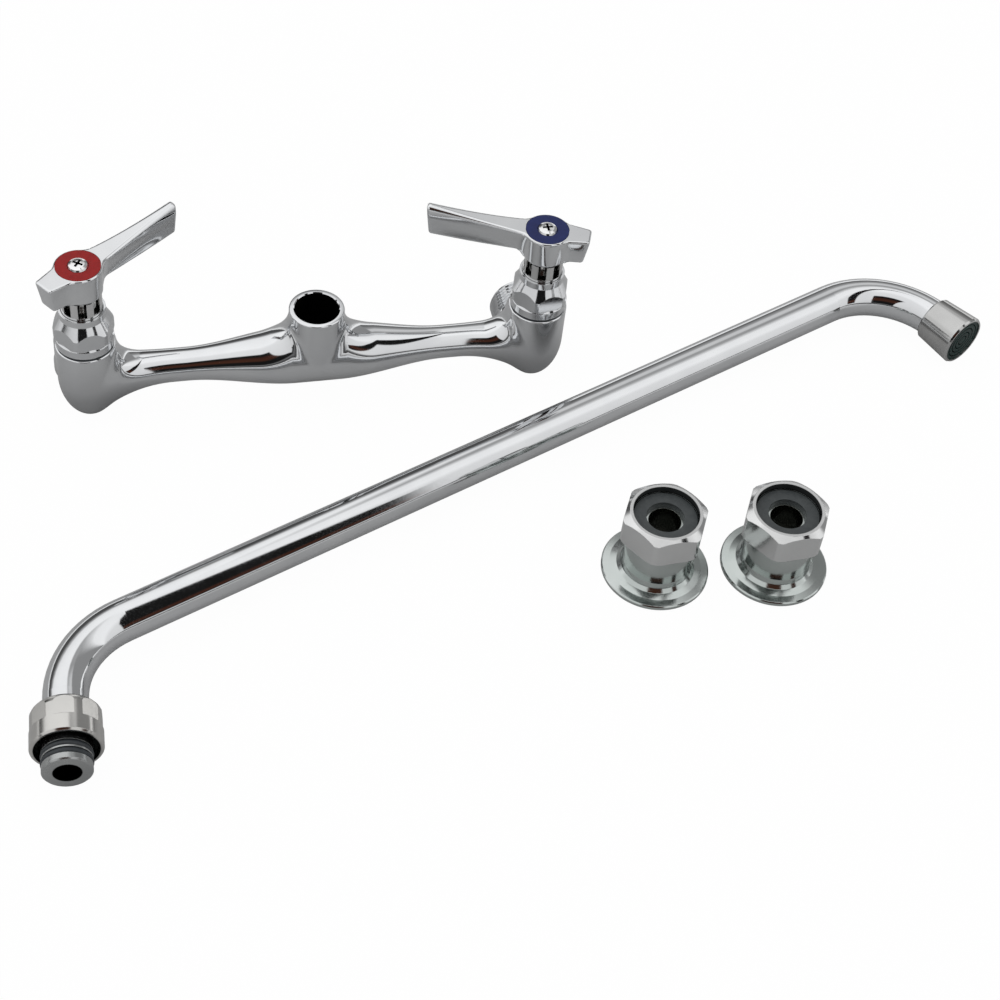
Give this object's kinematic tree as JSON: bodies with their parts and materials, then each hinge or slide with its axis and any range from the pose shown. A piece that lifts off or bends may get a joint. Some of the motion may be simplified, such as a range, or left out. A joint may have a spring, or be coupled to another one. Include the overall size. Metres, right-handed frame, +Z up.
{
  "type": "wall-mount faucet kit",
  "caption": "Wall-mount mixing faucet kit: valve body with lever handles and an open spout socket, a loose bent swing spout with coupling nut, and loose flanged wall couplings.",
  "frame": {"origin": "centre of the mouth of the spout socket, in the middle of the valve body", "axes": "+Z up out of the socket, +X along the body to the cold side, +Y back towards the wall; the surface on which the kit lies is the plane z = -50.2 mm"},
  "size_m": [0.461, 0.2385, 0.0901],
  "materials": {
    "polished_chrome": "polished",
    "machined_brass": "turned",
    "black_rubber": "matte",
    "bright_steel": "bright",
    "white_ceramic": "lapped",
    "red_ring": "gloss",
    "blue_ring": "gloss",
    "ivory_plastic": "satin",
    "dark_insert": "satin"
  },
  "bodies": {
    "faucet_body": {"valve_body": "polished_chrome", "hot_bonnet_nut": "polished_chrome", "cold_bonnet_nut": "polished_chrome", "hot_bonnet_washer": "black_rubber", "cold_bonnet_washer": "black_rubber", "hot_cartridge": "machined_brass", "cold_cartridge": "machined_brass", "hot_fixed_disc": "white_ceramic", "cold_fixed_disc": "white_ceramic", "hot_seat_seal": "black_rubber", "cold_seat_seal": "black_rubber"},
    "hot_lever": {"hot_handle": "polished_chrome", "hot_index_ring": "red_ring", "hot_handle_screw": "bright_steel", "hot_spindle": "machined_brass", "hot_spindle_oring": "black_rubber", "hot_spindle_clip": "bright_steel", "hot_moving_disc": "white_ceramic"},
    "cold_lever": {"cold_handle": "polished_chrome", "cold_index_ring": "blue_ring", "cold_handle_screw": "bright_steel", "cold_spindle": "machined_brass", "cold_spindle_oring": "black_rubber", "cold_spindle_clip": "bright_steel", "cold_moving_disc": "white_ceramic"},
    "spout": {"spout_tube": "polished_chrome", "spout_shank": "polished_chrome", "spout_orings": "black_rubber", "spout_thrust_ring": "ivory_plastic", "aerator_housing": "polished_chrome", "aerator_screen": "dark_insert", "aerator_washer": "black_rubber"},
    "spout_coupling_nut": {"spout_nut": "polished_chrome"},
    "hot_wall_coupling": {"hot_wall_flange": "polished_chrome", "hot_union_washer": "black_rubber", "hot_union_ring": "bright_steel"},
    "hot_coupling_nut": {"hot_union_nut": "polished_chrome"},
    "cold_wall_coupling": {"cold_wall_flange": "polished_chrome", "cold_union_washer": "black_rubber", "cold_union_ring": "bright_steel"},
    "cold_coupling_nut": {"cold_union_nut": "polished_chrome"}
  },
  "joints": [
    {"name": "hot_handle_turn", "type": "hinge", "parent": "faucet_body", "child": "hot_lever", "pos_m": [-0.1016, 0, 0], "axis": [0, 0, 1], "range_deg": [-36.7, 53.3]},
    {"name": "cold_handle_turn", "type": "hinge", "parent": "faucet_body", "child": "cold_lever", "pos_m": [0.1016, 0, 0], "axis": [0, 0, 1], "range_deg": [-69.7, 20.3]},
    {"name": "spout_lift", "type": "slide", "parent": "faucet_body", "child": "spout", "axis": [0, 0, 1], "range_m": [0, 0.15]},
    {"name": "spout_nut_spin", "type": "hinge", "parent": "spout", "child": "spout_coupling_nut", "pos_m": [-0.1256, -0.2039, -0.03588], "axis": [-0.0506, -0.9987, 0.0016], "continuous": true},
    {"name": "hot_coupling_lift", "type": "slide", "parent": "faucet_body", "child": "hot_wall_coupling", "axis": [0, 0, 1], "range_m": [0, 0.15]},
    {"name": "hot_union_nut_spin", "type": "hinge", "parent": "hot_wall_coupling", "child": "hot_coupling_nut", "pos_m": [0.1291, -0.1272, -0.02], "axis": [0, 0, 1], "continuous": true},
    {"name": "cold_coupling_lift", "type": "slide", "parent": "faucet_body", "child": "cold_wall_coupling", "axis": [0, 0, 1], "range_m": [0, 0.15]},
    {"name": "cold_union_nut_spin", "type": "hinge", "parent": "cold_wall_coupling", "child": "cold_coupling_nut", "pos_m": [0.1818, -0.1326, -0.02], "axis": [0, 0, 1], "continuous": true}
  ]
}
